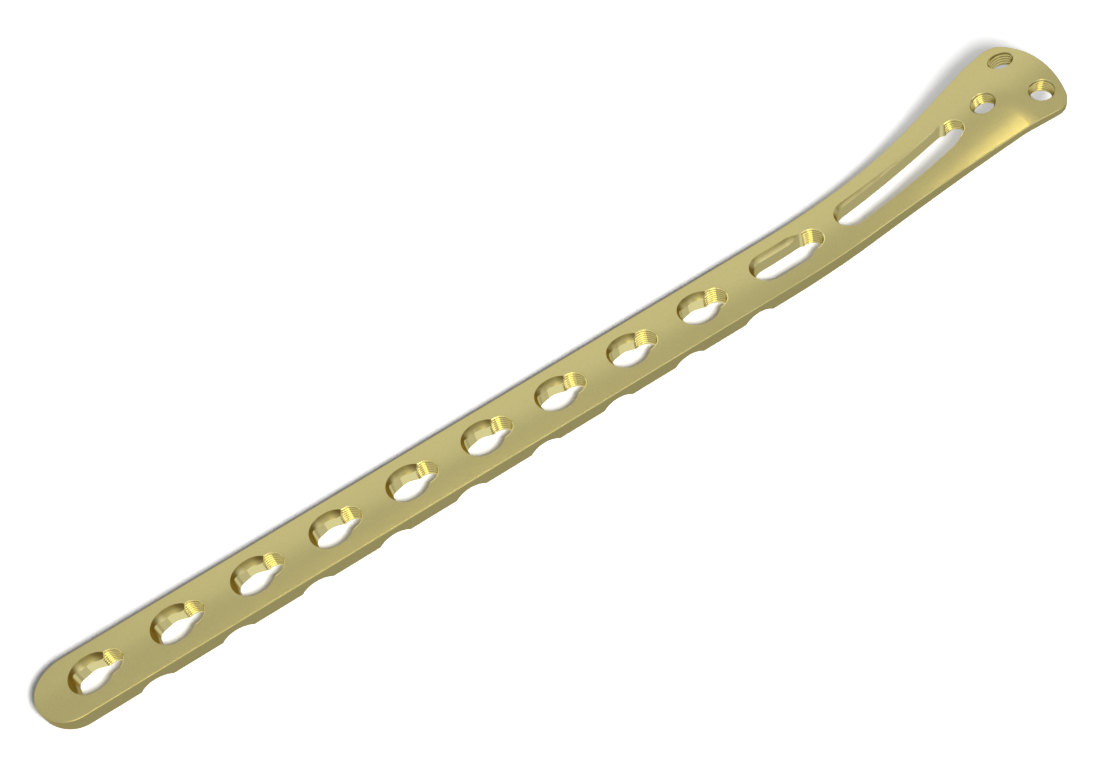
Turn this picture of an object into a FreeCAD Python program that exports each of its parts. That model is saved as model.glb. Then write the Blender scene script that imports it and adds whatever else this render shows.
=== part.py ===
import FreeCAD, Part
import math
import os

# A straight bone plate with a flared, upswept head. The shaft lies along X with its flat
# underside on Z = 0 and the head at +X. Lengths are in millimetres, angles in degrees.

# Shaft section
SHAFT_WIDTH = 11.0
SHAFT_THICKNESS = 3.4
CROWN_RADIUS = 27.0
UNDERSIDE_BEVEL = 0.5
TOP_EDGE_RADIUS = 0.25

# How far the shapes that cut or bound the plate reach past it
CUTTER_OVERRUN = 5.0

# Row of combination holes, counted from the rounded tip
HOLE_COUNT = 9
HOLE_PITCH = 13.0
TIP_TO_FIRST_THREAD = 11.6
TIP_LIFT = 1.0

# Threaded half of every hole, and the smaller threaded holes of the head
THREAD_TOP_RADIUS = 2.16
THREAD_UNDERSIDE_RADIUS = 2.0
HEAD_THREAD_TOP_RADIUS = 1.95
HEAD_THREAD_CORE_RADIUS = 1.89
THREAD_RIM_CHAMFER = 0.12

# Compression half of every hole
COMPRESSION_RIM_RADIUS = 3.29
BALL_CENTRE_ABOVE_TOP = 0.9
COMPRESSION_OFFSET = 3.05
COMPRESSION_TRAVEL = 0.35
THROAT_RADIUS = 2.55
THROAT_OFFSET = 2.83
THROAT_NECK_RADIUS = 1.25
THROAT_NECK_OFFSET = -0.81
THROAT_CORNER_RADIUS = 1.2
THROAT_CORNER_OFFSET = 4.5
THROAT_CORNER_SPREAD = 1.0

# Underside grooves between the holes
GROOVE_LENGTH = 5.0
GROOVE_RISE_AT_EDGE = 1.0
GROOVE_RISE_AT_MIDDLE = 0.5
GROOVE_FROM_THREAD = 4.4

# Short and long slots, placed by lengths along the bent plate
SHORT_SLOT_FROM_LAST_THREAD = 18.4
SHORT_SLOT_LENGTH = 5.2
SHORT_SLOT_END_GAP = 3.0
SHORT_SLOT_RIM_RADIUS = 3.0
LONG_SLOT_FROM_SHORT_SLOT = 28.3
LONG_SLOT_LENGTH = 18.3
LONG_SLOT_END_GAP = 2.1
LONG_SLOT_RIM_RADIUS = 2.78
LONG_SLOT_RIM_RISE = 1.8
SLOT_THROAT_RADIUS = 2.3
SLOT_CORNER_RADIUS = 1.2
SLOT_CORNER_GAP = 0.95

# Upsweep of the head
TIP_TO_BEND = 127.9
BEND_RADIUS = 105.3
BEND_ANGLE = 17.65
RAMP_LENGTH = 10.3
CREST_RADIUS = 12.0
CREST_ANGLE = 9.6
UNDERSIDE_BEND_LEAD = 2.0
HOLLOW_RADIUS = 60.0
HOLLOW_DEPTH = 0.25
HOLLOW_START_GAP = 0.2

# Plan of the head
TIP_TO_FLARE = 142.9
FLARE_RADIUS = 120.0
FLARE_ANGLE = 8.6
HEAD_END_FROM_TIP = 179.0
HEAD_END_RADIUS = 22.0
HEAD_CORNER_RADIUS = 2.6

# Threaded holes of the head, as lengths along the bent plate
CENTRE_HOLE_FROM_TIP = 168.6
PAIR_FROM_TIP = 176.2
PAIR_HALF_SPACING = 4.7

# Derived sizes
TIP_X = -0.5 * HEAD_END_FROM_TIP
HALF_WIDTH = 0.5 * SHAFT_WIDTH
TIP_TO_LAST_THREAD = TIP_TO_FIRST_THREAD + (HOLE_COUNT - 1) * HOLE_PITCH
TIP_TO_SHORT_SLOT = TIP_TO_LAST_THREAD + SHORT_SLOT_FROM_LAST_THREAD
TIP_TO_LONG_SLOT = TIP_TO_SHORT_SLOT + LONG_SLOT_FROM_SHORT_SLOT
BEND_START_X = TIP_X + TIP_TO_BEND
SHEET_HALF_WIDTH = 14.0
REACH = 8.0
UP = FreeCAD.Vector(0, 0, 1)


def vec(x, y, z):
    return FreeCAD.Vector(x, y, z)


def bend_stations(start_x, height, outward):
    """Start point and heading of each stretch of a line that runs parallel to the bent top."""
    bend = math.radians(BEND_ANGLE)
    crest = math.radians(CREST_ANGLE)
    bend_radius = BEND_RADIUS + outward
    crest_radius = CREST_RADIUS - outward
    stations = [(start_x, height, 0.0)]
    x = start_x + bend_radius * math.sin(bend)
    z = height + bend_radius * (1.0 - math.cos(bend))
    stations.append((x, z, bend))
    x = x + RAMP_LENGTH * math.cos(bend)
    z = z + RAMP_LENGTH * math.sin(bend)
    stations.append((x, z, bend))
    final = bend - crest
    x = x + crest_radius * (math.sin(bend) - math.sin(final))
    z = z + crest_radius * (math.cos(final) - math.cos(bend))
    stations.append((x, z, final))
    return stations


def top_point(length_from_tip, across):
    """Point of the crowned top surface and its outward normal, by length along the bent plate."""
    stations = bend_stations(BEND_START_X, SHAFT_THICKNESS, 0.0)
    bend_length = BEND_RADIUS * math.radians(BEND_ANGLE)
    crest_length = CREST_RADIUS * math.radians(CREST_ANGLE)
    past = length_from_tip - TIP_TO_BEND
    if past <= 0.0:
        x, z, heading = TIP_X + length_from_tip, SHAFT_THICKNESS, 0.0
    elif past <= bend_length:
        heading = past / BEND_RADIUS
        x = stations[0][0] + BEND_RADIUS * math.sin(heading)
        z = stations[0][1] + BEND_RADIUS * (1.0 - math.cos(heading))
    elif past <= bend_length + RAMP_LENGTH:
        rest = past - bend_length
        heading = stations[1][2]
        x = stations[1][0] + rest * math.cos(heading)
        z = stations[1][1] + rest * math.sin(heading)
    else:
        rest = past - bend_length - RAMP_LENGTH
        first = stations[2][2]
        turned = min(rest, crest_length) / CREST_RADIUS
        heading = first - turned
        x = stations[2][0] + CREST_RADIUS * (math.sin(first) - math.sin(heading))
        z = stations[2][1] + CREST_RADIUS * (math.cos(heading) - math.cos(first))
        flat = max(rest - crest_length, 0.0)
        x = x + flat * math.cos(heading)
        z = z + flat * math.sin(heading)
    lean = math.asin(across / CROWN_RADIUS)
    drop = CROWN_RADIUS * (1.0 - math.cos(lean))
    point = vec(x + drop * math.sin(heading), across, z - drop * math.cos(heading))
    along = -math.sin(heading) * math.cos(lean)
    normal = vec(along, math.sin(lean), math.cos(heading) * math.cos(lean))
    return point, normal


def crown_profile(x, height):
    """Closed section below the crowned top, in the plane across the plate."""
    drop = CROWN_RADIUS - math.sqrt(CROWN_RADIUS ** 2 - SHEET_HALF_WIDTH ** 2)
    left = vec(x, SHEET_HALF_WIDTH, height - drop)
    right = vec(x, -SHEET_HALF_WIDTH, height - drop)
    low_right = vec(x, -SHEET_HALF_WIDTH, height - REACH)
    low_left = vec(x, SHEET_HALF_WIDTH, height - REACH)
    arc = Part.Arc(left, vec(x, 0, height), right).toShape()
    sides = Part.makePolygon([right, low_right, low_left, left])
    return Part.Face(Part.Wire([arc] + sides.Edges))


def underside_profile(x, height):
    """Closed section above the flat underside, in the plane across the plate."""
    top = height + REACH
    corners = [(-SHEET_HALF_WIDTH, height), (SHEET_HALF_WIDTH, height),
               (SHEET_HALF_WIDTH, top), (-SHEET_HALF_WIDTH, top)]
    points = [vec(x, y, z) for y, z in corners]
    return Part.Face(Part.makePolygon(points + points[:1]))


def hollow_profile(x, height):
    """Closed section above a shallow arc that lets the head's underside sit on round bone."""
    drop = HOLLOW_RADIUS - math.sqrt(HOLLOW_RADIUS ** 2 - SHEET_HALF_WIDTH ** 2)
    left = vec(x, SHEET_HALF_WIDTH, height - drop)
    right = vec(x, -SHEET_HALF_WIDTH, height - drop)
    high_right = vec(x, -SHEET_HALF_WIDTH, height + REACH)
    high_left = vec(x, SHEET_HALF_WIDTH, height + REACH)
    arc = Part.Arc(left, vec(x, 0, height), right).toShape()
    sides = Part.makePolygon([right, high_right, high_left, left])
    return Part.Face(Part.Wire([arc] + sides.Edges))


def placed(face, station):
    """The section moved from the origin to a station and turned to its heading."""
    x, z, heading = station
    turned = face.copy()
    turned.rotate(vec(0, 0, 0), vec(0, 1, 0), -math.degrees(heading))
    turned.translate(vec(x, 0, z))
    return turned


def swept_sheet(profile, start_x, height, outward):
    """Section carried along the shaft, up the bend, along the ramp, over the crest and out."""
    stations = bend_stations(start_x, height, outward)
    bend_radius = BEND_RADIUS + outward
    crest_radius = CREST_RADIUS - outward
    section = profile(0.0, 0.0)
    shaft_start = TIP_X - CUTTER_OVERRUN
    shaft = placed(section, (shaft_start, height, 0.0)).extrude(vec(start_x - shaft_start, 0, 0))
    bend_centre = vec(start_x, 0, height + bend_radius)
    bend = placed(section, stations[0]).revolve(bend_centre, vec(0, 1, 0), -BEND_ANGLE)
    heading = stations[1][2]
    ramp_run = vec(RAMP_LENGTH * math.cos(heading), 0, RAMP_LENGTH * math.sin(heading))
    ramp = placed(section, stations[1]).extrude(ramp_run)
    crest_centre = vec(stations[2][0] + crest_radius * math.sin(heading), 0,
                       stations[2][1] - crest_radius * math.cos(heading))
    crest = placed(section, stations[2]).revolve(crest_centre, vec(0, 1, 0), CREST_ANGLE)
    final = stations[3][2]
    end_length = (TIP_X + HEAD_END_FROM_TIP - stations[3][0]) / math.cos(final) + CUTTER_OVERRUN
    end_run = vec(end_length * math.cos(final), 0, end_length * math.sin(final))
    end = placed(section, stations[3]).extrude(end_run)
    return shaft.multiFuse([bend, ramp, crest, end])


def over_the_head():
    """Height from below the underside that is sure to pass over the raised head."""
    rise = HEAD_END_FROM_TIP * math.sin(math.radians(BEND_ANGLE))
    return rise + SHAFT_THICKNESS + 2.0 * CUTTER_OVERRUN


def flare_points():
    """Ends of the flare's arc and the corner where the flare meets the head's end arc."""
    angle = math.radians(FLARE_ANGLE)
    start = (TIP_X + TIP_TO_FLARE, HALF_WIDTH)
    middle = (start[0] + FLARE_RADIUS * math.sin(0.5 * angle),
              start[1] + FLARE_RADIUS * (1.0 - math.cos(0.5 * angle)))
    finish = (start[0] + FLARE_RADIUS * math.sin(angle),
              start[1] + FLARE_RADIUS * (1.0 - math.cos(angle)))
    slope = math.tan(angle)
    end_x = TIP_X + HEAD_END_FROM_TIP
    centre_x = end_x - HEAD_END_RADIUS
    a = 1.0 + slope ** 2
    b = 2.0 * (slope * (finish[1] - slope * finish[0]) - centre_x)
    c = centre_x ** 2 + (finish[1] - slope * finish[0]) ** 2 - HEAD_END_RADIUS ** 2
    corner_x = (-b + math.sqrt(b ** 2 - 4.0 * a * c)) / (2.0 * a)
    corner = (corner_x, finish[1] + slope * (corner_x - finish[0]))
    return start, middle, finish, corner, end_x


def plan_prism():
    """Outline of the plate seen from above, as an upright block with its head corners rounded."""
    start, middle, finish, corner, end_x = flare_points()
    low = -CUTTER_OVERRUN
    tip_centre = TIP_X + HALF_WIDTH

    def at(point, side):
        return vec(point[0], side * point[1], low)

    tip = Part.Arc(vec(tip_centre, HALF_WIDTH, low), vec(TIP_X, 0, low),
                   vec(tip_centre, -HALF_WIDTH, low)).toShape()
    edges = [tip]
    for side in (-1, 1):
        edges.append(Part.makeLine(vec(tip_centre, side * HALF_WIDTH, low), at(start, side)))
        edges.append(Part.Arc(at(start, side), at(middle, side), at(finish, side)).toShape())
        edges.append(Part.makeLine(at(finish, side), at(corner, side)))
    edges.append(Part.Arc(at(corner, -1), vec(end_x, 0, low), at(corner, 1)).toShape())
    outline = Part.Wire(Part.__sortEdges__(edges))
    prism = Part.Face(outline).extrude(vec(0, 0, over_the_head()))
    corners = []
    for edge in prism.Edges:
        middle_point = edge.CenterOfMass
        upright = abs(edge.BoundBox.ZLength - over_the_head()) < 1e-6
        if upright and abs(middle_point.x - corner[0]) < 1e-3:
            corners.append(edge)
    return prism.makeFillet(HEAD_CORNER_RADIUS, corners)


def tip_relief():
    """What the underside gives up to lift off the bone at the rounded tip."""
    radius = (HALF_WIDTH ** 2 + TIP_LIFT ** 2) / (2.0 * TIP_LIFT)
    block = Part.makeBox(HALF_WIDTH + CUTTER_OVERRUN, 2.0 * SHAFT_WIDTH,
                         TIP_LIFT + CUTTER_OVERRUN,
                         vec(TIP_X - CUTTER_OVERRUN, -SHAFT_WIDTH, -CUTTER_OVERRUN))
    roll = Part.makeCylinder(radius, 4.0 * SHAFT_WIDTH,
                             vec(TIP_X + HALF_WIDTH, -2.0 * SHAFT_WIDTH, radius), vec(0, 1, 0))
    return block.cut(roll)


def underside_start():
    """Where the underside begins to bend: earlier than the top, so the head comes out thinner."""
    return BEND_START_X - UNDERSIDE_BEND_LEAD


def blank():
    """The plate before its edges are dressed and its holes are cut."""
    below_top = swept_sheet(crown_profile, BEND_START_X, SHAFT_THICKNESS, 0.0)
    above_underside = swept_sheet(underside_profile, underside_start(), 0.0, SHAFT_THICKNESS)
    body = below_top.common(plan_prism()).common(above_underside)
    return body.cut(tip_relief()).removeSplitter().Solids[0]


def hollowed(body):
    """The body with its head scooped out below, where it lies on round bone."""
    lead = (HOLLOW_DEPTH + HOLLOW_START_GAP) / math.sin(math.radians(BEND_ANGLE))
    start_x = underside_start() - lead
    return body.common(swept_sheet(hollow_profile, start_x, -HOLLOW_START_GAP, SHAFT_THICKNESS))


def edge_loop(body, side):
    """Outer edges of the top (side = 1) or of the underside (side = -1)."""
    loop = []
    for edge in body.Edges:
        tangent = edge.tangentAt(0.5 * (edge.FirstParameter + edge.LastParameter))
        if abs(tangent.z) > 0.9:
            continue
        faces = body.ancestorsOfType(edge, Part.Face)
        upright = 0
        facing = 0
        for face in faces:
            point = edge.valueAt(0.5 * (edge.FirstParameter + edge.LastParameter))
            u, v = face.Surface.parameter(point)
            normal = face.normalAt(u, v)
            if abs(normal.z) < 0.3:
                upright = upright + 1
            elif normal.z * side > 0:
                facing = facing + 1
        if upright == 1 and facing == 1:
            loop.append(edge)
    return loop


def hull_of_circles(first, first_radius, second, second_radius, low, height):
    """Upright block round two circles, given by their centres, joined by common tangents."""
    run = vec(second[0] - first[0], second[1] - first[1], 0)
    heading = math.atan2(run.y, run.x)
    lean = math.acos((first_radius - second_radius) / run.Length)

    def on_circle(centre, radius, angle):
        return vec(centre[0] + radius * math.cos(angle), centre[1] + radius * math.sin(angle), low)

    first_left = on_circle(first, first_radius, heading + lean)
    first_back = on_circle(first, first_radius, heading + math.pi)
    first_right = on_circle(first, first_radius, heading - lean)
    second_right = on_circle(second, second_radius, heading - lean)
    second_front = on_circle(second, second_radius, heading)
    second_left = on_circle(second, second_radius, heading + lean)
    edges = [Part.Arc(first_left, first_back, first_right).toShape(),
             Part.makeLine(first_right, second_right),
             Part.Arc(second_right, second_front, second_left).toShape(),
             Part.makeLine(second_left, first_left)]
    return Part.Face(Part.Wire(edges)).extrude(vec(0, 0, height))


def ball_trough(x1, x2, rim_radius, top):
    """Ball-ended trough that a round screw head rides in."""
    ball = math.sqrt(rim_radius ** 2 + BALL_CENTRE_ABOVE_TOP ** 2)
    z = top + BALL_CENTRE_ABOVE_TOP
    low_x, high_x = min(x1, x2), max(x1, x2)
    balls = [Part.makeSphere(ball, vec(low_x, 0, z)), Part.makeSphere(ball, vec(high_x, 0, z))]
    run = Part.makeCylinder(ball, high_x - low_x, vec(low_x, 0, z), vec(1, 0, 0))
    return run.multiFuse(balls)


def thread_cone(foot, axis, top_radius):
    """Tapered threaded bore with a small lead-in at its rim, along its own axis."""
    growth = (THREAD_TOP_RADIUS - THREAD_UNDERSIDE_RADIUS) / SHAFT_THICKNESS
    below = SHAFT_THICKNESS + CUTTER_OVERRUN
    above = 2.0
    bore = Part.makeCone(top_radius - growth * below, top_radius + growth * above,
                         below + above, foot - axis * below, axis)
    rim_foot = foot - axis * THREAD_RIM_CHAMFER
    rim = Part.makeCone(top_radius, top_radius + above, above, rim_foot, axis)
    return bore.fuse(rim)


def throat(thread_x):
    """Upright walls under the compression trough: blunt towards the tip, tapering to the thread."""
    middle = (thread_x - THROAT_OFFSET, 0.0)
    neck = (thread_x - THROAT_NECK_OFFSET, 0.0)
    corner_x = thread_x - THROAT_CORNER_OFFSET
    corners = [(corner_x, -THROAT_CORNER_SPREAD), (corner_x, THROAT_CORNER_SPREAD)]
    small = THROAT_CORNER_RADIUS
    low = -CUTTER_OVERRUN
    height = SHAFT_THICKNESS + 2.0 * CUTTER_OVERRUN
    taper = hull_of_circles(middle, THROAT_RADIUS, neck, THROAT_NECK_RADIUS, low, height)
    pieces = [hull_of_circles(corners[0], small, corners[1], small, low, height)]
    for corner in corners:
        pieces.append(hull_of_circles(corner, small, middle, THROAT_RADIUS, low, height))
    return taper.multiFuse(pieces).removeSplitter()


def combination_hole(thread_x):
    """One hole of the row: tapered thread on the head side, compression trough on the tip side."""
    rear = thread_x - COMPRESSION_OFFSET
    trough = ball_trough(rear, rear + COMPRESSION_TRAVEL, COMPRESSION_RIM_RADIUS, SHAFT_THICKNESS)
    thread = thread_cone(vec(thread_x, 0, SHAFT_THICKNESS), UP, THREAD_TOP_RADIUS)
    return trough.multiFuse([throat(thread_x), thread])


def slot_throat(rear_length, thread_length):
    """Upright walls of a slot: round at its rear, with tight corners where it meets the thread."""
    rear_x = top_point(rear_length, 0.0)[0].x
    corner_x = top_point(thread_length - SLOT_CORNER_GAP, 0.0)[0].x
    spread = SLOT_THROAT_RADIUS - SLOT_CORNER_RADIUS
    width = 2.0 * SLOT_THROAT_RADIUS
    low = -CUTTER_OVERRUN
    high = over_the_head()
    rear = Part.makeCylinder(SLOT_THROAT_RADIUS, high, vec(rear_x, 0, low))
    middle = Part.makeBox(corner_x - rear_x, width, high, vec(rear_x, -0.5 * width, low))
    front = hull_of_circles((corner_x, -spread), SLOT_CORNER_RADIUS,
                            (corner_x, spread), SLOT_CORNER_RADIUS, low, high)
    return middle.multiFuse([rear, front]).removeSplitter()


def curved_trough(rear_length, front_length, rim_radius, rise):
    """Ball-ended trough that follows the bend and runs out of the top towards the head."""
    ball = math.sqrt(rim_radius ** 2 + BALL_CENTRE_ABOVE_TOP ** 2)
    centres = []
    for length in (rear_length, front_length):
        point, normal = top_point(length, 0.0)
        centres.append(point + normal * BALL_CENTRE_ABOVE_TOP)
    heading = top_point(rear_length, 0.0)[1]
    along = vec(heading.z, 0, -heading.x)
    disc = Part.Face(Part.Wire(Part.makeCircle(ball, centres[0], along)))
    turn = math.degrees((front_length - rear_length) / BEND_RADIUS)
    bend_centre = vec(BEND_START_X, 0, SHAFT_THICKNESS + BEND_RADIUS)
    run = disc.revolve(bend_centre, vec(0, 1, 0), -turn)
    trough = run.multiFuse([Part.makeSphere(ball, centre) for centre in centres])
    trough.rotate(centres[0], vec(0, 1, 0), -rise)
    return trough


def square_thread(length, across, top_radius):
    """Threaded bore square to the top surface at a place on the bent plate."""
    point, normal = top_point(length, across)
    return thread_cone(point, normal, top_radius)


def head_thread(length, across):
    """Threaded hole of the head: a tapered mouth that a screw head seats in, then a straight core."""
    point, normal = top_point(length, across)
    mouth = thread_cone(point, normal, HEAD_THREAD_TOP_RADIUS)
    below = SHAFT_THICKNESS + CUTTER_OVERRUN
    core = Part.makeCylinder(HEAD_THREAD_CORE_RADIUS, below, point - normal * below, normal)
    return mouth.fuse(core)


def short_slot():
    """Slot at the foot of the head: straight walls, round rim and a threaded end."""
    front = TIP_TO_SHORT_SLOT - SHORT_SLOT_END_GAP
    rear = front - SHORT_SLOT_LENGTH
    trough = ball_trough(top_point(rear, 0.0)[0].x, top_point(front, 0.0)[0].x,
                         SHORT_SLOT_RIM_RADIUS, SHAFT_THICKNESS)
    thread = square_thread(TIP_TO_SHORT_SLOT, 0.0, THREAD_TOP_RADIUS)
    return trough.multiFuse([slot_throat(rear, TIP_TO_SHORT_SLOT), thread])


def long_slot():
    """Slot along the bend: its rim narrows towards the threaded end."""
    front = TIP_TO_LONG_SLOT - LONG_SLOT_END_GAP
    rear = front - LONG_SLOT_LENGTH
    trough = curved_trough(rear, front, LONG_SLOT_RIM_RADIUS, LONG_SLOT_RIM_RISE)
    thread = square_thread(TIP_TO_LONG_SLOT, 0.0, HEAD_THREAD_TOP_RADIUS)
    return trough.multiFuse([slot_throat(rear, TIP_TO_LONG_SLOT), thread])


def underside_groove(thread_x):
    """Round groove across the underside between two holes, deeper towards both edges."""
    half = 0.5 * GROOVE_LENGTH
    radius = (half ** 2 + GROOVE_RISE_AT_EDGE ** 2) / (2.0 * GROOVE_RISE_AT_EDGE)
    edge_apex = UNDERSIDE_BEVEL + GROOVE_RISE_AT_EDGE
    x = thread_x + GROOVE_FROM_THREAD
    slope = (edge_apex - GROOVE_RISE_AT_MIDDLE) / HALF_WIDTH
    halves = []
    for side in (-1, 1):
        inner = vec(x, 0, GROOVE_RISE_AT_MIDDLE - radius)
        run = vec(0, side * 2.0 * HALF_WIDTH, 2.0 * HALF_WIDTH * slope)
        halves.append(Part.makeCylinder(radius, run.Length, inner, run))
    return halves[0].fuse(halves[1])


def plate():
    """The finished plate: dressed blank less its grooves, holes and slots."""
    body = blank()
    body = body.makeChamfer(UNDERSIDE_BEVEL, edge_loop(body, -1))
    body = body.makeFillet(TOP_EDGE_RADIUS, edge_loop(body, 1))
    body = hollowed(body)
    cutters = []
    for index in range(HOLE_COUNT):
        thread_x = TIP_X + TIP_TO_FIRST_THREAD + index * HOLE_PITCH
        cutters.append(underside_groove(thread_x))
        cutters.append(combination_hole(thread_x))
    cutters.append(short_slot())
    cutters.append(long_slot())
    cutters.append(head_thread(CENTRE_HOLE_FROM_TIP, 0.0))
    for side in (-1, 1):
        cutters.append(head_thread(PAIR_FROM_TIP, side * PAIR_HALF_SPACING))
    return body.cut(cutters).Solids[0]


os.makedirs("parts", exist_ok=True)
plate().exportStep("parts/plate.step")
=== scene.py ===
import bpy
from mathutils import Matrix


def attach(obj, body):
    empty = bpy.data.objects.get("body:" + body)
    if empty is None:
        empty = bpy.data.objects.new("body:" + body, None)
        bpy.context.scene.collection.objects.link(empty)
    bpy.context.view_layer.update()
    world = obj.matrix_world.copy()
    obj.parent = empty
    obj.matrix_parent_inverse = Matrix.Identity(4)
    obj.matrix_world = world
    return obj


bl_info = {
    "name": "Bone Plate Dressing",
    "version": (1, 0, 0),
    "blender": (4, 5, 0),
    "location": "3D View > Sidebar > Bone Plate",
    "description": "Gives a locking bone plate its anodised finish, its screw threads and a light stage",
    "category": "Object",
}

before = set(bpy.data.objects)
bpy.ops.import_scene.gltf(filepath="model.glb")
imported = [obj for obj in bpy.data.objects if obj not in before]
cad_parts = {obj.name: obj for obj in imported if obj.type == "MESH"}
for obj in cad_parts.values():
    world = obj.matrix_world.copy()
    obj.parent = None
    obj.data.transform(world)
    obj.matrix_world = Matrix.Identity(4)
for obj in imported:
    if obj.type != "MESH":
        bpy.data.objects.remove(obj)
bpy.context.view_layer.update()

import math

import bpy
from bpy.props import FloatProperty, FloatVectorProperty, IntProperty, PointerProperty
from mathutils import Vector
from mathutils.bvhtree import BVHTree

PLATE = "plate"
MM = 0.001

# Plate, in millimetres
TIP_X = -89.5
THICKNESS = 3.4
CROWN_RADIUS = 27.0

# Upsweep of the top's middle line, in millimetres and degrees
TIP_TO_BEND = 127.9
BEND_RADIUS = 105.3
BEND_ANGLE = 17.65
RAMP_LENGTH = 10.3
CREST_RADIUS = 12.0
CREST_ANGLE = 9.6

# Threaded bores, as lengths along the top from the tip in millimetres
FIRST_THREAD = 11.6
HOLE_PITCH = 13.0
HOLE_COUNT = 9
SHORT_SLOT_THREAD = 134.0
LONG_SLOT_THREAD = 162.3
CENTRE_THREAD = 168.6
PAIR_THREAD = 176.2
PAIR_HALF_SPACING = 4.7

# Radius about half way down each bore's taper, and the depth of the head's bores
SHAFT_BORE_RADIUS = 2.08
SHORT_SLOT_BORE_RADIUS = 2.09
LONG_SLOT_BORE_RADIUS = 1.88
HEAD_BORE_RADIUS = 1.91
HEAD_BORE_DEPTH = 3.2

# How far a wall may lie from that radius, how far a ray looks for it as a share of the
# radius, and how deep a turn's foot is let into the wall
WALL_TOLERANCE = 0.16 * MM
LOOK_OUT = 1.3
FOOT_DEPTH = 0.02 * MM

# Search for the rim of a bore, up from its foot and down again
RIM_STEP = 0.025 * MM
RIM_LEVELS = range(-20, 24)

# Stretches in metres over which the painted reflections and shade on the walls inside the holes come and
# go
HOLES_HALF_WIDTH = 4.5 * MM
TIP_MARGIN = (-86.8 * MM, -86.2 * MM)
HEAD_MARGIN = (88.2 * MM, 88.6 * MM)
SLOTS_BEGIN = (33.0 * MM, 34.0 * MM)

# Grain of the anodised surface, as waves to a metre
CLOUDS = 70.0
SPECKLE = 5200.0
FLUTES = (5200.0, 5200.0, 260.0)
ROUGHNESS_SPREAD = 0.08

# Lamps that only the metal mirrors: name, setting of the power, azimuth and elevation in
# degrees, distance and width in metres, colour
METAL_LAMPS = (
    ("overhead_lamp", "fill_power", -80.0, 88.0, 0.7, 0.12, (1.0, 0.86, 0.45)),
    ("soft_lamp", "soft_power", 72.0, 27.0, 1.0, 1.1, (1.0, 1.0, 1.0)),
    ("thread_lamp", "thread_power", -122.0, 39.0, 0.9, 0.40, (1.0, 0.88, 0.42)),
    ("edge_lamp", "edge_power", -72.0, 38.0, 0.9, 0.30, (1.0, 0.96, 0.80)),
)

# Lamp that only the floor sees, close to the camera so that the shadow stays narrow
KEY_PLACE = (-0.0231, -0.1646, 0.1561)
KEY_WIDTH = 0.05

# Floor: half its side, its paint, and where its glow grows away from the plate
FLOOR_HALF = 3.0
FLOOR_GREY = 0.86
FLOOR_GAP = 0.02 * MM
SQUEEZE_ALONG = 0.3
GLOW_GROWS = (32.0 * MM, 80.0 * MM)
HEAD_BEGINS = (36.0 * MM, 74.0 * MM)

# Camera, in metres, degrees and millimetres of lens
CAMERA_PLACE = (-0.042843, -0.133156, 0.175793)
CAMERA_TURN = (37.78485, 11.27320, -30.64870)
CAMERA_LENS = 48.079
CAMERA_SENSOR = 36.0
CAMERA_NEAREST = 0.005


# Sizes and colours that a user would change

class FinishSettings(bpy.types.PropertyGroup):
    """Anodised titanium: its colours and how evenly it took, with the reflections, highlights and shade
    painted into its holes and threads.
    """

    gold: FloatVectorProperty(
        name="Gold", description="Colour of the anodised surface", subtype="COLOR",
        size=3, min=0.0, max=1.0, default=(0.395, 0.352, 0.155))
    olive: FloatVectorProperty(
        name="Olive", description="Colour where the anodising came out a little thicker",
        subtype="COLOR", size=3, min=0.0, max=1.0, default=(0.372, 0.330, 0.139))
    edge_tint: FloatVectorProperty(
        name="Edge tint", description="Tint of the metal where it is seen at a grazing angle",
        subtype="COLOR", size=3, min=0.0, max=1.0, default=(0.80, 0.73, 0.50))
    roughness: FloatProperty(
        name="Roughness", description="Roughness of the blasted top and sides",
        subtype="FACTOR", min=0.0, max=1.0, default=0.30)
    # Painted reflections on the milled walls of the holes, lightest and darkest, picked by the way a
    # wall faces
    wall_reflection_light: FloatVectorProperty(
        name="Wall, light", description="Milled walls of the holes at their lightest",
        subtype="COLOR", size=3, min=0.0, max=1.0, default=(0.92, 0.84, 0.40))
    wall_reflection_dark: FloatVectorProperty(
        name="Wall, dark", description="Milled walls of the holes at their darkest",
        subtype="COLOR", size=3, min=0.0, max=1.0, default=(0.40, 0.355, 0.155))
    seat: FloatVectorProperty(
        name="Seat", description="Hollow seats that the heads of the screws slide in",
        subtype="COLOR", size=3, min=0.0, max=1.0, default=(0.40, 0.35, 0.145))
    # Painted highlight in the seats
    seat_highlight: FloatVectorProperty(
        name="Seat, light", description="Lightest part of the seats", subtype="COLOR",
        size=3, min=0.0, max=1.0, default=(0.60, 0.54, 0.27))
    # Painted shade at the rounded end of each seat and on the steep walls there that face the head
    seat_end_shade: FloatVectorProperty(
        name="Seat end", description="Rounded end of a seat, where the gold runs deepest",
        subtype="COLOR", size=3, min=0.0, max=1.0, default=(0.34, 0.235, 0.05))
    # Painted highlight on the crests of the threads' turns and painted shade in their roots
    thread_crest_highlight: FloatVectorProperty(
        name="Thread crest", description="Crests of the threads' turns", subtype="COLOR",
        size=3, min=0.0, max=1.0, default=(0.66, 0.575, 0.225))
    thread_root_shade: FloatVectorProperty(
        name="Thread root", description="Roots between the threads' turns", subtype="COLOR",
        size=3, min=0.0, max=1.0, default=(0.13, 0.095, 0.025))
    cut_roughness: FloatProperty(
        name="Cut roughness", description="Roughness of the freshly cut thread flanks",
        subtype="FACTOR", min=0.0, max=1.0, default=0.24)


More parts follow.
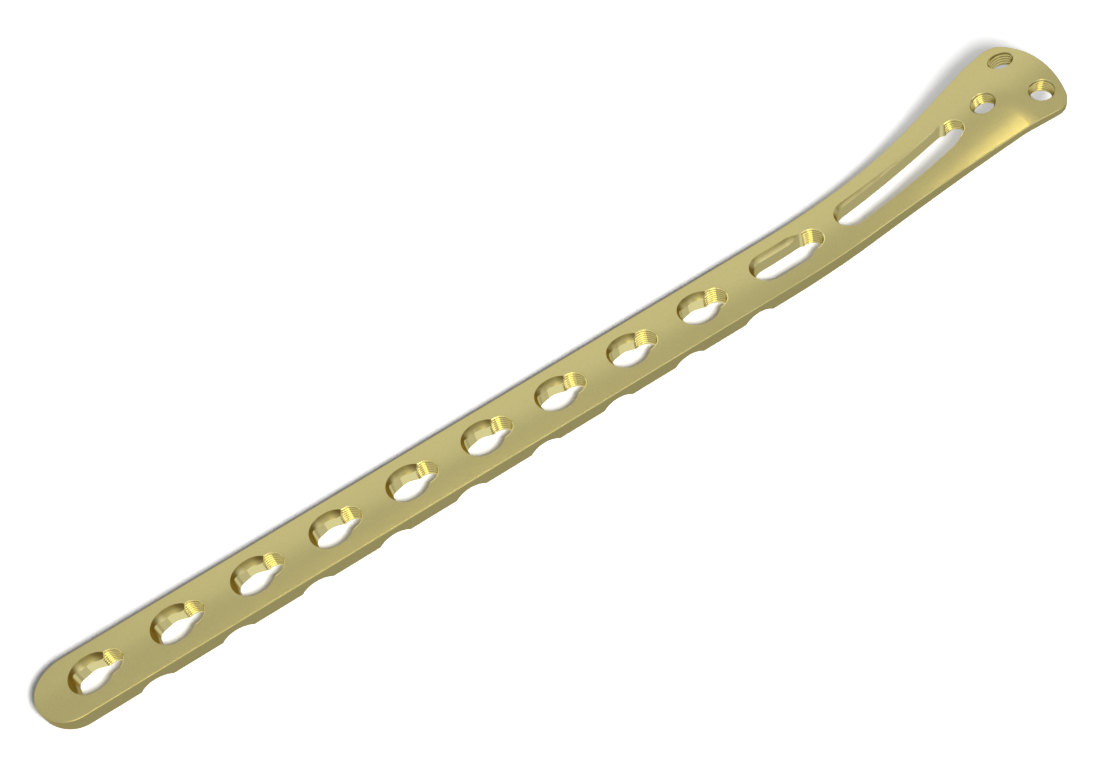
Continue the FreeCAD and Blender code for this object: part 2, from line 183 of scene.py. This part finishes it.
class ThreadSettings(bpy.types.PropertyGroup):
    """Turns of the screw threads inside the bores."""

    pitch: FloatProperty(
        name="Pitch", description="Distance between two neighbouring turns",
        subtype="DISTANCE", unit="LENGTH", default=0.46 * MM)
    starts: IntProperty(
        name="Starts", description="How many turns begin side by side", default=2, min=1)
    height: FloatProperty(
        name="Height", description="How far a turn stands out of the bore's wall",
        subtype="DISTANCE", unit="LENGTH", default=0.16 * MM)
    root: FloatProperty(
        name="Root", description="Width of a turn where it leaves the wall",
        subtype="DISTANCE", unit="LENGTH", default=0.42 * MM)
    crest: FloatProperty(
        name="Crest", description="Width of a turn at its edge",
        subtype="DISTANCE", unit="LENGTH", default=0.08 * MM)
    rim_start: FloatProperty(
        name="Lead-in start", description="How far below the rim the lead-in begins",
        subtype="DISTANCE", unit="LENGTH", default=0.01 * MM)
    rim_edge: FloatProperty(
        name="Lead-in edge", description="How far below the rim the lead-in's edge lies",
        subtype="DISTANCE", unit="LENGTH", default=0.07 * MM)
    rim_foot: FloatProperty(
        name="Lead-in foot", description="How far below the rim the lead-in ends at the wall",
        subtype="DISTANCE", unit="LENGTH", default=0.16 * MM)
    segments: IntProperty(
        name="Segments", description="Steps in one full turn", default=72, min=12)


class StageSettings(bpy.types.PropertyGroup):
    """Floor, lamps and room."""

    key_power: FloatProperty(
        name="Key", description="Power of the key lamp", unit="POWER", default=1.15)
    fill_power: FloatProperty(
        name="Overhead", description="Power of the overhead lamp", unit="POWER", default=0.48)
    soft_power: FloatProperty(
        name="Soft", description="Power of the wide lamp behind", unit="POWER", default=1.85)
    thread_power: FloatProperty(
        name="Threads", description="Power of the lamp that the threads mirror",
        unit="POWER", default=1.9)
    edge_power: FloatProperty(
        name="Edges", description="Power of the lamp that the near edges mirror",
        unit="POWER", default=0.85)
    ambient: FloatProperty(
        name="Ambient", description="Brightness of the room round the object",
        default=0.10, min=0.0)
    floor_in_metal: FloatProperty(
        name="Floor in metal", description="Brightness of the floor where the metal mirrors it",
        default=0.80, min=0.0)
    lift: FloatProperty(
        name="Floor lift", description="Glow that brings the lit floor up to white",
        default=0.09, min=0.0)
    head_lift: FloatProperty(
        name="Lift at the head", description="More of that glow, where the head stands high",
        default=0.30, min=0.0)


# Building blocks of the materials

def new_group(name, inputs, outputs):
    """An empty shader node group with its sockets, and its two end nodes."""
    group = bpy.data.node_groups.new(name, "ShaderNodeTree")
    for label, kind, value in inputs:
        socket = group.interface.new_socket(label, in_out="INPUT", socket_type=kind)
        socket.default_value = value
    for label, kind in outputs:
        group.interface.new_socket(label, in_out="OUTPUT", socket_type=kind)
    start = group.nodes.new("NodeGroupInput")
    end = group.nodes.new("NodeGroupOutput")
    return group, start, end


def map_range(nodes, links, source, low, high, at_low, at_high):
    """A clamped straight ramp of a value."""
    ramp = nodes.new("ShaderNodeMapRange")
    ramp.inputs["From Min"].default_value = low
    ramp.inputs["From Max"].default_value = high
    ramp.inputs["To Min"].default_value = at_low
    ramp.inputs["To Max"].default_value = at_high
    links.new(source, ramp.inputs["Value"])
    return ramp.outputs["Result"]


def arithmetic(nodes, links, operation, *values):
    """One sum, product or other operation of values and sockets."""
    node = nodes.new("ShaderNodeMath")
    node.operation = operation
    for index, value in enumerate(values):
        if isinstance(value, (int, float)):
            node.inputs[index].default_value = value
        else:
            links.new(value, node.inputs[index])
    return node.outputs["Value"]


def blend(nodes, links, factor, first, second):
    """Mix of two colours, each of them a setting or a socket."""
    node = nodes.new("ShaderNodeMix")
    node.data_type = "RGBA"
    links.new(factor, node.inputs["Factor"])
    for name, colour in (("A", first), ("B", second)):
        if isinstance(colour, bpy.types.NodeSocket):
            links.new(colour, node.inputs[name])
        else:
            node.inputs[name].default_value = (*colour, 1.0)
    return node.outputs["Result"]


def noise(nodes, links, vector, scale, detail):
    """A noise pattern over the object."""
    node = nodes.new("ShaderNodeTexNoise")
    node.inputs["Scale"].default_value = scale
    node.inputs["Detail"].default_value = detail
    links.new(vector, node.inputs["Vector"])
    return node.outputs["Fac"]


def split(nodes, links, vector):
    """The three parts of a vector."""
    node = nodes.new("ShaderNodeSeparateXYZ")
    links.new(vector, node.inputs["Vector"])
    return node.outputs["X"], node.outputs["Y"], node.outputs["Z"]


# Materials

def anodised_surface():
    """Uneven anodising over a blasted surface with faint cutter marks."""
    group, start, end = new_group(
        "anodised_surface",
        [("Gold", "NodeSocketColor", (0.5, 0.45, 0.2, 1.0)),
         ("Olive", "NodeSocketColor", (0.4, 0.4, 0.15, 1.0)),
         ("Roughness", "NodeSocketFloat", 0.4),
         ("Grain", "NodeSocketFloat", 1.0)],
        [("Color", "NodeSocketColor"), ("Roughness", "NodeSocketFloat"),
         ("Height", "NodeSocketFloat")])
    nodes, links = group.nodes, group.links
    place = nodes.new("ShaderNodeTexCoord").outputs["Object"]

    clouds = noise(nodes, links, place, CLOUDS, 3.0)
    tone = blend(nodes, links, clouds, start.outputs["Gold"], start.outputs["Olive"])
    speckle = noise(nodes, links, place, SPECKLE, 2.0)
    grain = map_range(nodes, links, speckle, 0.3, 0.7, 0.94, 1.05)
    shade = nodes.new("ShaderNodeVectorMath")
    shade.operation = "SCALE"
    links.new(tone, shade.inputs[0])
    links.new(grain, shade.inputs["Scale"])
    links.new(shade.outputs["Vector"], end.inputs["Color"])

    least = arithmetic(nodes, links, "SUBTRACT", start.outputs["Roughness"],
                       0.5 * ROUGHNESS_SPREAD)
    rough = arithmetic(nodes, links, "MULTIPLY_ADD", speckle, ROUGHNESS_SPREAD, least)
    links.new(rough, end.inputs["Roughness"])

    stretch = nodes.new("ShaderNodeMapping")
    stretch.inputs["Scale"].default_value = FLUTES
    links.new(place, stretch.inputs["Vector"])
    flutes = noise(nodes, links, stretch.outputs["Vector"], 1.0, 1.0)
    height = arithmetic(nodes, links, "MULTIPLY_ADD", speckle, start.outputs["Grain"], flutes)
    links.new(height, end.inputs["Height"])
    return group


def anodised_material(name, group, settings, roughness, grain, bump):
    """Satin anodised titanium with the shared surface effect."""
    material = bpy.data.materials.new(name)
    material.use_nodes = True
    nodes, links = material.node_tree.nodes, material.node_tree.links
    shader = nodes["Principled BSDF"]
    shader.inputs["Metallic"].default_value = 1.0
    shader.inputs["Specular Tint"].default_value = (*settings.edge_tint, 1.0)
    surface = nodes.new("ShaderNodeGroup")
    surface.node_tree = group
    surface.inputs["Gold"].default_value = (*settings.gold, 1.0)
    surface.inputs["Olive"].default_value = (*settings.olive, 1.0)
    surface.inputs["Roughness"].default_value = roughness
    surface.inputs["Grain"].default_value = grain
    relief = nodes.new("ShaderNodeBump")
    relief.inputs["Strength"].default_value = bump
    relief.inputs["Distance"].default_value = 0.02 * MM
    links.new(surface.outputs["Color"], shader.inputs["Base Color"])
    links.new(surface.outputs["Roughness"], shader.inputs["Roughness"])
    links.new(surface.outputs["Height"], relief.inputs["Height"])
    links.new(relief.outputs["Normal"], shader.inputs["Normal"])
    return material


def shaft_wall_reflection(nodes, links, ahead, aside):
    """Painted reflections on the milled walls of the shaft's holes: light and dark stripes by the way
    that a wall faces.
    """
    # Light and dark stripes of painted reflection, by how far a wall faces sideways
    light = map_range(nodes, links, aside, -0.965, -0.990, 0.0, 0.78)
    middle = map_range(nodes, links, aside, -0.880, -0.780, 0.0, 0.52)
    far_side = map_range(nodes, links, aside, -0.30, 0.60, 0.0, 0.20)
    tone = arithmetic(nodes, links, "ADD", light, middle)
    tone = arithmetic(nodes, links, "ADD", tone, far_side)
    tone = arithmetic(nodes, links, "ADD", tone, 0.15)
    # Walls that face the tip get a light painted reflection
    facing_back = map_range(nodes, links, ahead, 0.04, -0.04, 0.0, 0.95)
    return arithmetic(nodes, links, "MAXIMUM", tone, facing_back)


def slot_wall_reflection(nodes, links, ahead):
    """Painted reflection on the slots' walls: plain along the sides and light where they close in."""
    opening = map_range(nodes, links, ahead, -0.10, -0.40, 0.0, 0.80)
    closing = map_range(nodes, links, ahead, -0.60, -0.80, 1.0, 0.15)
    neck = arithmetic(nodes, links, "MULTIPLY", opening, closing)
    return arithmetic(nodes, links, "MAXIMUM", neck, 0.22)


def inside_outline(nodes, links, along, across):
    """1 within the band of the holes and 0 at the plate's own sides and ends."""
    beside = arithmetic(nodes, links, "SUBTRACT",
                        arithmetic(nodes, links, "ABSOLUTE", across), HOLES_HALF_WIDTH)
    middle = map_range(nodes, links, beside, -0.2 * MM, 0.2 * MM, 1.0, 0.0)
    past_tip = map_range(nodes, links, along, *TIP_MARGIN, 0.0, 1.0)
    before_end = map_range(nodes, links, along, *HEAD_MARGIN, 1.0, 0.0)
    inside = arithmetic(nodes, links, "MULTIPLY", middle, past_tip)
    return arithmetic(nodes, links, "MULTIPLY", inside, before_end)


def bore_walls():
    """Masks of the steep walls and of the hollow seats inside the holes, with the painted reflection of
    the walls by the way they face.
    """
    group, _, end = new_group(
        "bore_walls", [],
        [("Wall", "NodeSocketFloat"), ("Seat", "NodeSocketFloat"),
         ("Tone", "NodeSocketFloat"), ("Heading", "NodeSocketFloat"),
         ("Slot", "NodeSocketFloat")])
    nodes, links = group.nodes, group.links
    place = nodes.new("ShaderNodeTexCoord").outputs["Object"]
    along, across, _ = split(nodes, links, place)
    inside = inside_outline(nodes, links, along, across)

    normal = nodes.new("ShaderNodeNewGeometry").outputs["Normal"]
    facing_x, facing_y, facing_up = split(nodes, links, normal)
    not_under = map_range(nodes, links, facing_up, -0.60, -0.40, 0.0, 1.0)
    steep = map_range(nodes, links, facing_up, 0.20, 0.34, 1.0, 0.0)
    steep = arithmetic(nodes, links, "MULTIPLY", steep, not_under)
    sloped = map_range(nodes, links, facing_up, 0.80, 0.90, 1.0, 0.0)
    sloped = arithmetic(nodes, links, "MULTIPLY", sloped, not_under)
    seat = arithmetic(nodes, links, "SUBTRACT", sloped, steep)
    links.new(arithmetic(nodes, links, "MULTIPLY", steep, inside), end.inputs["Wall"])
    links.new(arithmetic(nodes, links, "MULTIPLY", seat, inside), end.inputs["Seat"])

    flat = nodes.new("ShaderNodeCombineXYZ")
    links.new(facing_x, flat.inputs["X"])
    links.new(facing_y, flat.inputs["Y"])
    unit = nodes.new("ShaderNodeVectorMath")
    unit.operation = "NORMALIZE"
    links.new(flat.outputs["Vector"], unit.inputs[0])
    ahead, aside, _ = split(nodes, links, unit.outputs["Vector"])
    on_shaft = map_range(nodes, links, along, *SLOTS_BEGIN, 1.0, 0.0)
    slot = arithmetic(nodes, links, "SUBTRACT", 1.0, on_shaft)
    # Painted reflection on the walls by the way they face: stripes in the shaft's holes, light necks in
    # the slots
    shaft_reflection = arithmetic(nodes, links, "MULTIPLY",
                            shaft_wall_reflection(nodes, links, ahead, aside), on_shaft)
    slot_reflection = arithmetic(nodes, links, "MULTIPLY", slot_wall_reflection(nodes, links, ahead), slot)
    tone = arithmetic(nodes, links, "MAXIMUM", shaft_reflection, slot_reflection)
    links.new(tone, end.inputs["Tone"])
    links.new(slot, end.inputs["Slot"])
    links.new(ahead, end.inputs["Heading"])
    return group


def milled_holes(material, walls, settings):
    """Paint reflections, highlights and shade onto the walls and seats inside the holes, by the way they
    face, in the plate's material.
    """
    nodes, links = material.node_tree.nodes, material.node_tree.links
    shader = nodes["Principled BSDF"]
    blasted = shader.inputs["Base Color"].links[0].from_socket
    holes = nodes.new("ShaderNodeGroup")
    holes.node_tree = walls
    heading = holes.outputs["Heading"]
    # Painted reflections on the steep walls, from dark to light by the way they face
    painted_wall_colour = blend(nodes, links, holes.outputs["Tone"], settings.wall_reflection_dark, settings.wall_reflection_light)
    with_walls = blend(nodes, links, holes.outputs["Wall"], blasted, painted_wall_colour)

    # Painted highlight on the seats by the way they face, and a share of it all over the slots' seats
    rising = map_range(nodes, links, heading, 0.20, 0.42, 0.0, 1.0)
    falling = map_range(nodes, links, heading, 0.50, 0.66, 1.0, 0.0)
    light = arithmetic(nodes, links, "MULTIPLY", rising, falling)
    slot_seat_highlight = arithmetic(nodes, links, "MULTIPLY", holes.outputs["Slot"], 0.60)
    light = arithmetic(nodes, links, "MAXIMUM", light, slot_seat_highlight)
    seat = blend(nodes, links, light, settings.seat, settings.seat_highlight)
    # Painted shade at the rounded end of each seat, where it faces the head
    deep = map_range(nodes, links, heading, 0.58, 0.78, 0.0, 1.0)
    seat = blend(nodes, links, deep, seat, settings.seat_end_shade)
    with_seats = blend(nodes, links, holes.outputs["Seat"], with_walls, seat)

    # Painted shade on the steep walls that face the head
    rear_wall_shade = map_range(nodes, links, heading, 0.78, 0.92, 0.0, 1.0)
    rear_wall_shade = arithmetic(nodes, links, "MULTIPLY", rear_wall_shade, holes.outputs["Wall"])
    with_rear = blend(nodes, links, rear_wall_shade, with_seats, settings.seat_end_shade)
    links.new(with_rear, shader.inputs["Base Color"])


def thread_material(name, group, settings):
    """Cut thread with a painted highlight on the crests of the turns and painted shade in their roots.
    """
    material = anodised_material(name, group, settings, settings.cut_roughness, 0.4, 0.04)
    nodes, links = material.node_tree.nodes, material.node_tree.links
    crest = nodes.new("ShaderNodeAttribute")
    crest.attribute_name = "crest"
    # Painted shade in the roots and painted highlight on the crests
    flank = blend(nodes, links, crest.outputs["Fac"], settings.thread_root_shade,
                  settings.thread_crest_highlight)
    links.new(flank, nodes["Principled BSDF"].inputs["Base Color"])
    return material


# Places of the threaded bores

def top_line(from_tip):
    """Place and slope of the top's middle line at a length from the tip, in millimetres."""
    bend = math.radians(BEND_ANGLE)
    head = bend - math.radians(CREST_ANGLE)
    stretches = ((TIP_TO_BEND, 0.0, 0.0), (BEND_RADIUS * bend, 0.0, bend),
                 (RAMP_LENGTH, bend, bend), (CREST_RADIUS * (bend - head), bend, head),
                 (from_tip, head, head))
    x, z, slope, left = TIP_X, THICKNESS, 0.0, from_tip
    for length, at_start, at_end in stretches:
        run = min(left, length)
        slope = at_start + (at_end - at_start) * run / length
        if at_start == at_end:
            x += run * math.cos(slope)
            z += run * math.sin(slope)
        else:
            radius = length / (at_end - at_start)
            x += radius * (math.sin(slope) - math.sin(at_start))
            z += radius * (math.cos(at_start) - math.cos(slope))
        left -= run
        if left <= 0.0:
            break
    return x, z, slope


def bore_at(from_tip, aside, radius, depth):
    """Foot and axis of a bore square to the crowned top, with its radius and depth."""
    x, z, slope = top_line(from_tip)
    tilt = math.asin(aside / CROWN_RADIUS)
    drop = CROWN_RADIUS * (1.0 - math.cos(tilt))
    foot = Vector((x + drop * math.sin(slope), aside, z - drop * math.cos(slope))) * MM
    axis = Vector((-math.sin(slope) * math.cos(tilt), math.sin(tilt),
                   math.cos(slope) * math.cos(tilt)))
    return foot, axis.normalized(), radius * MM, depth * MM


# Threads

def plate_tree():
    """The plate's solid as a tree that rays can be cast at."""
    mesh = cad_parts[PLATE].data
    points = [tuple(vertex.co) for vertex in mesh.vertices]
    faces = [tuple(polygon.vertices) for polygon in mesh.polygons]
    return BVHTree.FromPolygons(points, faces)


def wall_radius(tree, centre, outward, axis, nominal, margin):
    """Distance from the bore's axis to its wall, or None where the wall ends within a margin."""
    found = []
    for shift in (-margin, margin, 0.0):
        hit = tree.ray_cast(centre + axis * shift, outward, nominal * LOOK_OUT)
        if hit[0] is None or abs(hit[3] - nominal) > WALL_TOLERANCE:
            return None
        found.append(hit[3])
    return found[-1]


def outward_at(axis, angle):
    """Direction square to an axis, turned about it by an angle."""
    across = axis.cross(Vector((1.0, 0.0, 0.0))).normalized()
    along = across.cross(axis).normalized()
    return along * math.cos(angle) + across * math.sin(angle)


def turn_rows(tree, bore, settings, start):
    """Places down one helical turn of thread, with the wall's radius where there is wall."""
    foot, axis, nominal, depth = bore
    lead = settings.pitch * settings.starts
    total = int(settings.segments * depth / lead)
    spare = settings.segments // 8
    rows = []
    for step in range(-spare, total + spare):
        angle = 2.0 * math.pi * (step / settings.segments + start / settings.starts)
        outward = outward_at(axis, angle)
        centre = foot - axis * (lead * step / settings.segments)
        radius = wall_radius(tree, centre, outward, axis, nominal, 0.5 * settings.root)
        rows.append((centre, outward, radius))
    return rows


def rim_rows(tree, bore, settings):
    """Places round the rim, where the bore's wall begins."""
    foot, axis, nominal, _ = bore
    rows = []
    for step in range(settings.segments + 1):
        outward = outward_at(axis, 2.0 * math.pi * step / settings.segments)
        for level in RIM_LEVELS:
            centre = foot - axis * (RIM_STEP * level)
            radius = wall_radius(tree, centre, outward, axis, nominal, 0.0)
            if radius is not None:
                break
        rows.append((centre, outward, radius))
    return rows


def add_strip(rows, profile, axis, height, points, faces, crests):
    """A strip along the rows: the profile gives height, shift along the axis and crest."""
    last = None
    for index, (centre, outward, radius) in enumerate(rows):
        if radius is None:
            last = None
            continue
        near = [row[2] is not None for row in rows[max(index - 2, 0):index + 3]]
        tall = height * sum(near) / 5.0
        first = len(points)
        for share, shift, crest in profile:
            reach = radius + FOOT_DEPTH - share * (tall + FOOT_DEPTH)
            points.append(centre + outward * reach + axis * shift)
            crests.append(crest)
        if last is not None:
            for k in range(len(profile) - 1):
                faces.append((last + k, last + k + 1, first + k + 1, first + k))
        last = first


def thread_object(name, bores, settings, material, lead_in):
    """All the turns of a set of bores as one object, with or without a lead-in at the rims."""
    tree = plate_tree()
    points, faces, crests = [], [], []
    turn = ((0.0, 0.5 * settings.root, 0.0), (1.0, 0.5 * settings.crest, 1.0),
            (1.0, -0.5 * settings.crest, 1.0), (0.0, -0.5 * settings.root, 0.0))
    rim = ((0.0, -settings.rim_start, 1.0), (1.0, -settings.rim_edge, 1.0),
           (0.0, -settings.rim_foot, 0.0))
    for bore in bores:
        axis = bore[1]
        for start in range(settings.starts):
            add_strip(turn_rows(tree, bore, settings, start), turn, axis, settings.height,
                      points, faces, crests)
        if lead_in:
            add_strip(rim_rows(tree, bore, settings), rim, axis, settings.height,
                      points, faces, crests)
    if not faces:
        raise RuntimeError("no bore wall was found for " + name)
    mesh = bpy.data.meshes.new(name)
    mesh.from_pydata([tuple(point) for point in points], [], faces)
    mesh.materials.append(material)
    mesh.attributes.new("crest", "FLOAT", "POINT").data.foreach_set("value", crests)
    mesh.validate()
    piece = bpy.data.objects.new(name, mesh)
    bpy.context.scene.collection.objects.link(piece)
    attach(piece, "root")
    return piece


# Stage

def seen_directly(nodes, links):
    """1 for rays that show the background itself: camera, glossy and transmission rays."""
    path = nodes.new("ShaderNodeLightPath")
    mirrored = arithmetic(nodes, links, "MAXIMUM", path.outputs["Is Camera Ray"],
                          path.outputs["Is Glossy Ray"])
    return arithmetic(nodes, links, "MAXIMUM", mirrored, path.outputs["Is Transmission Ray"])


def floor_glow(nodes, links, settings):
    """Strength of the floor's own glow: little by the plate, more by the head, white far off."""
    place = nodes.new("ShaderNodeTexCoord").outputs["Object"]
    squeezed = nodes.new("ShaderNodeMapping")
    squeezed.inputs["Scale"].default_value = (SQUEEZE_ALONG, 1.0, 1.0)
    links.new(place, squeezed.inputs["Vector"])
    away = nodes.new("ShaderNodeVectorMath")
    away.operation = "LENGTH"
    links.new(squeezed.outputs["Vector"], away.inputs[0])
    lift = map_range(nodes, links, away.outputs["Value"], *GLOW_GROWS, settings.lift, 1.0)
    along, _, _ = split(nodes, links, place)
    by_head = map_range(nodes, links, along, *HEAD_BEGINS, 0.0, settings.head_lift)
    lift = arithmetic(nodes, links, "ADD", lift, by_head)
    return arithmetic(nodes, links, "MULTIPLY", lift, seen_directly(nodes, links))


def mix_shaders(nodes, links, factor, first, second):
    """One shader or the other, by a factor."""
    node = nodes.new("ShaderNodeMixShader")
    links.new(factor, node.inputs["Fac"])
    links.new(first, node.inputs[1])
    links.new(second, node.inputs[2])
    return node.outputs["Shader"]


def floor_material(settings):
    """Matt pale paint that is even where the metal mirrors it and clear from below."""
    material = bpy.data.materials.new("pale_floor")
    material.use_nodes = True
    nodes, links = material.node_tree.nodes, material.node_tree.links
    nodes.clear()
    matt = nodes.new("ShaderNodeBsdfDiffuse")
    matt.inputs["Color"].default_value = (FLOOR_GREY, FLOOR_GREY, FLOOR_GREY, 1.0)
    glow = nodes.new("ShaderNodeEmission")
    links.new(floor_glow(nodes, links, settings), glow.inputs["Strength"])
    total = nodes.new("ShaderNodeAddShader")
    links.new(matt.outputs["BSDF"], total.inputs[0])
    links.new(glow.outputs["Emission"], total.inputs[1])
    reflected = nodes.new("ShaderNodeEmission")
    reflected.inputs["Strength"].default_value = settings.floor_in_metal
    glossy_ray = nodes.new("ShaderNodeLightPath").outputs["Is Glossy Ray"]
    from_above = mix_shaders(nodes, links, glossy_ray, total.outputs["Shader"],
                             reflected.outputs["Emission"])
    below = nodes.new("ShaderNodeNewGeometry").outputs["Backfacing"]
    clear = nodes.new("ShaderNodeBsdfTransparent").outputs["BSDF"]
    output = nodes.new("ShaderNodeOutputMaterial")
    links.new(mix_shaders(nodes, links, below, from_above, clear), output.inputs["Surface"])
    return material


def make_floor(settings):
    """A wide pale floor that keeps the object's shadow."""
    mesh = bpy.data.meshes.new("floor")
    corners = [(-FLOOR_HALF, -FLOOR_HALF, 0.0), (FLOOR_HALF, -FLOOR_HALF, 0.0),
               (FLOOR_HALF, FLOOR_HALF, 0.0), (-FLOOR_HALF, FLOOR_HALF, 0.0)]
    mesh.from_pydata(corners, [], [(0, 1, 2, 3)])
    mesh.materials.append(floor_material(settings))
    floor = bpy.data.objects.new("floor", mesh)
    floor.location.z = -FLOOR_GAP
    bpy.context.scene.collection.objects.link(floor)


def make_room(settings):
    """White where the background shows, and a plain soft level as light."""
    world = bpy.data.worlds.new("room")
    bpy.context.scene.world = world
    world.use_nodes = True
    nodes, links = world.node_tree.nodes, world.node_tree.links
    background = nodes["Background"]
    background.inputs["Color"].default_value = (1.0, 1.0, 1.0, 1.0)
    level = map_range(nodes, links, seen_directly(nodes, links), 0.0, 1.0,
                      settings.ambient, 1.0)
    links.new(level, background.inputs["Strength"])


def lamp_place(azimuth, elevation, distance):
    """Point at a distance from the object's middle, from two angles in degrees."""
    turn, rise = math.radians(azimuth), math.radians(elevation)
    return Vector((math.cos(rise) * math.cos(turn), math.cos(rise) * math.sin(turn),
                   math.sin(rise))) * distance


def make_lamp(name, place, width, power, on_floor, colour):
    """A square soft lamp aimed at the object, for the floor alone or for the metal alone."""
    data = bpy.data.lights.new(name, "AREA")
    data.shape = "SQUARE"
    data.size = width
    data.energy = power
    data.color = colour
    lamp = bpy.data.objects.new(name, data)
    lamp.location = place
    lamp.rotation_euler = (-Vector(place)).to_track_quat("-Z", "Y").to_euler()
    lamp.visible_camera = False
    lamp.visible_diffuse = on_floor
    lamp.visible_glossy = not on_floor
    bpy.context.scene.collection.objects.link(lamp)


def make_camera():
    """Close camera that looks down along the plate from beyond its near edge."""
    data = bpy.data.cameras.new("camera")
    data.sensor_width = CAMERA_SENSOR
    data.sensor_fit = "HORIZONTAL"
    data.lens = CAMERA_LENS
    data.clip_start = CAMERA_NEAREST
    camera = bpy.data.objects.new("camera", data)
    camera.location = CAMERA_PLACE
    camera.rotation_euler = tuple(math.radians(angle) for angle in CAMERA_TURN)
    bpy.context.scene.collection.objects.link(camera)
    bpy.context.scene.camera = camera


# Operators

class BONEPLATE_OT_finish(bpy.types.Operator):
    """Give the milled plate its satin anodised finish"""

    bl_idname = "boneplate.finish"
    bl_label = "Finish the plate"

    def execute(self, context):
        settings = context.scene.boneplate_finish
        group = anodised_surface()
        body = anodised_material("anodised_titanium", group, settings,
                                 settings.roughness, 1.0, 0.12)
        milled_holes(body, bore_walls(), settings)
        thread_material("anodised_thread", group, settings)
        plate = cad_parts[PLATE]
        if not plate.material_slots:
            plate.data.materials.append(body)
        for material_slot in plate.material_slots:
            material_slot.material = body
        return {"FINISHED"}


class BONEPLATE_OT_shaft_threads(bpy.types.Operator):
    """Cut the turns into the threaded half of every combination hole"""

    bl_idname = "boneplate.shaft_threads"
    bl_label = "Thread the shaft's holes"

    def execute(self, context):
        bores = [bore_at(FIRST_THREAD + index * HOLE_PITCH, 0.0, SHAFT_BORE_RADIUS, THICKNESS)
                 for index in range(HOLE_COUNT)]
        thread_object("shaft_threads", bores, context.scene.boneplate_thread,
                      bpy.data.materials["anodised_thread"], True)
        return {"FINISHED"}


class BONEPLATE_OT_head_threads(bpy.types.Operator):
    """Cut the turns into the slots' threaded ends and the head's holes"""

    bl_idname = "boneplate.head_threads"
    bl_label = "Thread the slots and the head"

    def execute(self, context):
        material = bpy.data.materials["anodised_thread"]
        settings = context.scene.boneplate_thread
        slots = [bore_at(SHORT_SLOT_THREAD, 0.0, SHORT_SLOT_BORE_RADIUS, THICKNESS),
                 bore_at(LONG_SLOT_THREAD, 0.0, LONG_SLOT_BORE_RADIUS, THICKNESS)]
        head = [bore_at(CENTRE_THREAD, 0.0, HEAD_BORE_RADIUS, HEAD_BORE_DEPTH),
                bore_at(PAIR_THREAD, PAIR_HALF_SPACING, HEAD_BORE_RADIUS, HEAD_BORE_DEPTH),
                bore_at(PAIR_THREAD, -PAIR_HALF_SPACING, HEAD_BORE_RADIUS, HEAD_BORE_DEPTH)]
        thread_object("slot_threads", slots, settings, material, True)
        thread_object("head_threads", head, settings, material, False)
        return {"FINISHED"}


class BONEPLATE_OT_stage(bpy.types.Operator):
    """Set up the floor, the lamps and the camera"""

    bl_idname = "boneplate.stage"
    bl_label = "Set the stage"

    def execute(self, context):
        settings = context.scene.boneplate_stage
        make_floor(settings)
        make_room(settings)
        make_lamp("key_lamp", KEY_PLACE, KEY_WIDTH, settings.key_power, True, (1.0, 1.0, 1.0))
        for name, power, azimuth, elevation, distance, width, colour in METAL_LAMPS:
            make_lamp(name, lamp_place(azimuth, elevation, distance), width,
                      getattr(settings, power), False, colour)
        make_camera()
        context.scene.view_settings.view_transform = "Standard"
        return {"FINISHED"}


# Panel and registration

class BONEPLATE_PT_panel(bpy.types.Panel):
    """Steps that dress the plate, with their settings."""

    bl_label = "Bone Plate"
    bl_idname = "BONEPLATE_PT_panel"
    bl_space_type = "VIEW_3D"
    bl_region_type = "UI"
    bl_category = "Bone Plate"

    def draw(self, context):
        layout = self.layout
        scene = context.scene
        for label, group, steps in (
                ("Finish", scene.boneplate_finish, ("boneplate.finish",)),
                ("Threads", scene.boneplate_thread,
                 ("boneplate.shaft_threads", "boneplate.head_threads")),
                ("Stage", scene.boneplate_stage, ("boneplate.stage",))):
            box = layout.box()
            box.label(text=label)
            for name in group.__annotations__:
                box.prop(group, name)
            for step in steps:
                box.operator(step)


CLASSES = (FinishSettings, ThreadSettings, StageSettings, BONEPLATE_OT_finish,
           BONEPLATE_OT_shaft_threads, BONEPLATE_OT_head_threads, BONEPLATE_OT_stage,
           BONEPLATE_PT_panel)


def register():
    for cls in CLASSES:
        bpy.utils.register_class(cls)
    bpy.types.Scene.boneplate_finish = PointerProperty(type=FinishSettings)
    bpy.types.Scene.boneplate_thread = PointerProperty(type=ThreadSettings)
    bpy.types.Scene.boneplate_stage = PointerProperty(type=StageSettings)


def unregister():
    del bpy.types.Scene.boneplate_stage
    del bpy.types.Scene.boneplate_thread
    del bpy.types.Scene.boneplate_finish
    for cls in reversed(CLASSES):
        bpy.utils.unregister_class(cls)


def main():
    register()
    bpy.ops.boneplate.finish()
    bpy.ops.boneplate.shaft_threads()
    bpy.ops.boneplate.head_threads()
    bpy.ops.boneplate.stage()


if __name__ == "__main__":
    main()
